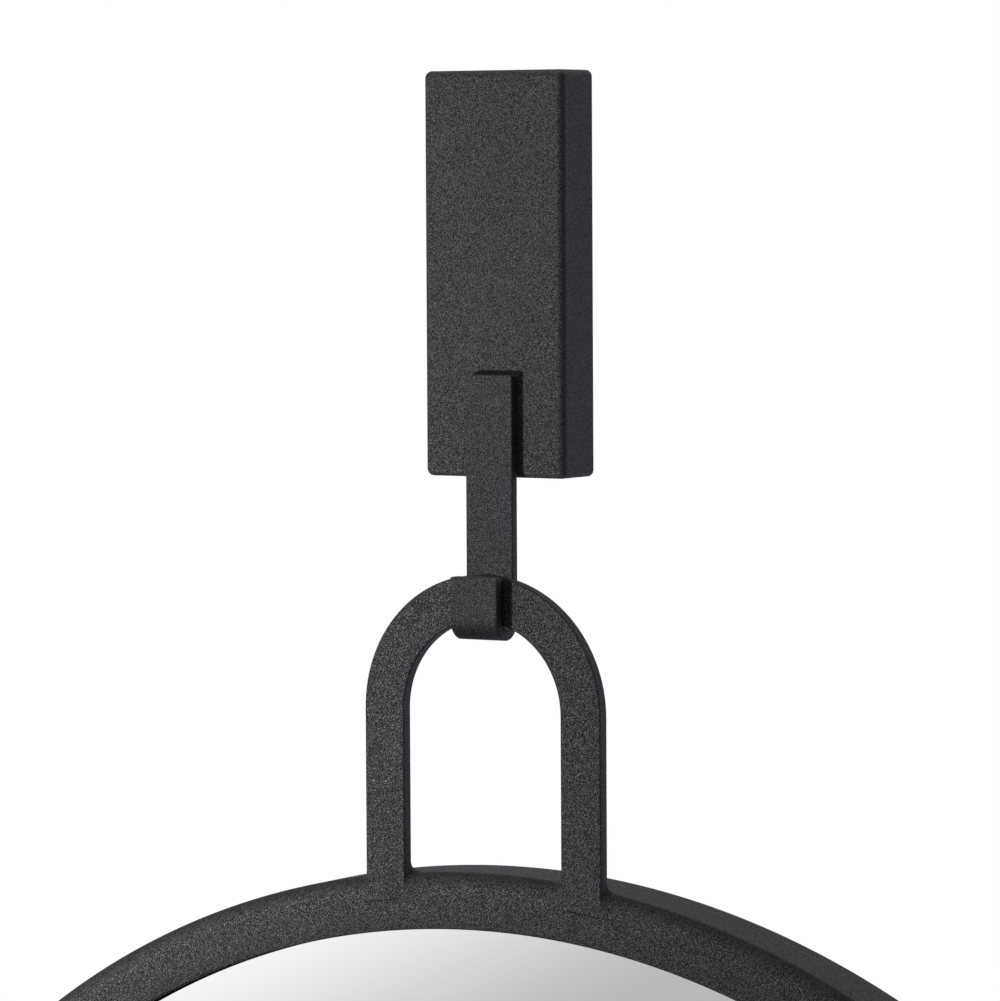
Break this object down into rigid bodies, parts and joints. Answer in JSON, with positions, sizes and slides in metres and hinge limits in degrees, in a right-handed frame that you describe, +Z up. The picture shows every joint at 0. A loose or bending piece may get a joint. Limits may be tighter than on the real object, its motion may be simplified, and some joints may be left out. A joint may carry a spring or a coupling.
{
  "type": "oval wall mirror",
  "caption": "Oval mirror in a black metal frame, hung by a flat-bar loop on a strap hook under a box-shaped wall bracket.",
  "frame": {"origin": "on the wall plane, midway between the two wall screw holes in the wall plate", "axes": "+X to the right seen from the front, +Y into the wall, +Z up; the mirror faces -Y"},
  "size_m": [0.7618, 0.0309, 1.2666],
  "materials": {
    "black_coat": "charcoal black powder coat with a fine sand texture",
    "zinc_steel": "zinc-plated steel, satin",
    "nylon": "matt black nylon",
    "mirror": "silvered float glass with polished edges",
    "foam": "closed-cell foam tape",
    "rubber": "matt black rubber",
    "board": "bare fibreboard"
  },
  "bodies": {
    "wall_bracket": {"wall_plate": "zinc_steel", "bracket_cover": "black_coat", "strap_hook": "black_coat", "hook_studs": "zinc_steel", "hook_doubler": "zinc_steel", "stud_washers": "zinc_steel", "stud_nuts": "zinc_steel", "weld_nuts": "zinc_steel", "cover_screws": "zinc_steel"},
    "cradle": {"hook_cradle": "nylon"},
    "mirror": {"hanging_loop": "black_coat", "loop_welds": "black_coat", "oval_frame": "black_coat", "glazing_strip": "foam", "mirror_glass": "mirror", "glass_blocks": "rubber", "adhesive_pads": "foam", "backing_board": "board", "retaining_tabs": "black_coat", "tab_screws": "zinc_steel", "wall_bumpers": "rubber", "bumper_washers": "zinc_steel", "bumper_screws": "zinc_steel"}
  },
  "joints": [
    {"name": "mirror_tilt", "type": "hinge", "parent": "wall_bracket", "child": "cradle", "pos_m": [0, -0.02445, -0.1075], "axis": [-1, 0, 0], "range_deg": [0, 3]},
    {"name": "mirror_swing", "type": "hinge", "parent": "cradle", "child": "mirror", "pos_m": [0, -0.02445, -0.1366], "axis": [0, 1, 0], "range_deg": [-10, 10]}
  ]
}
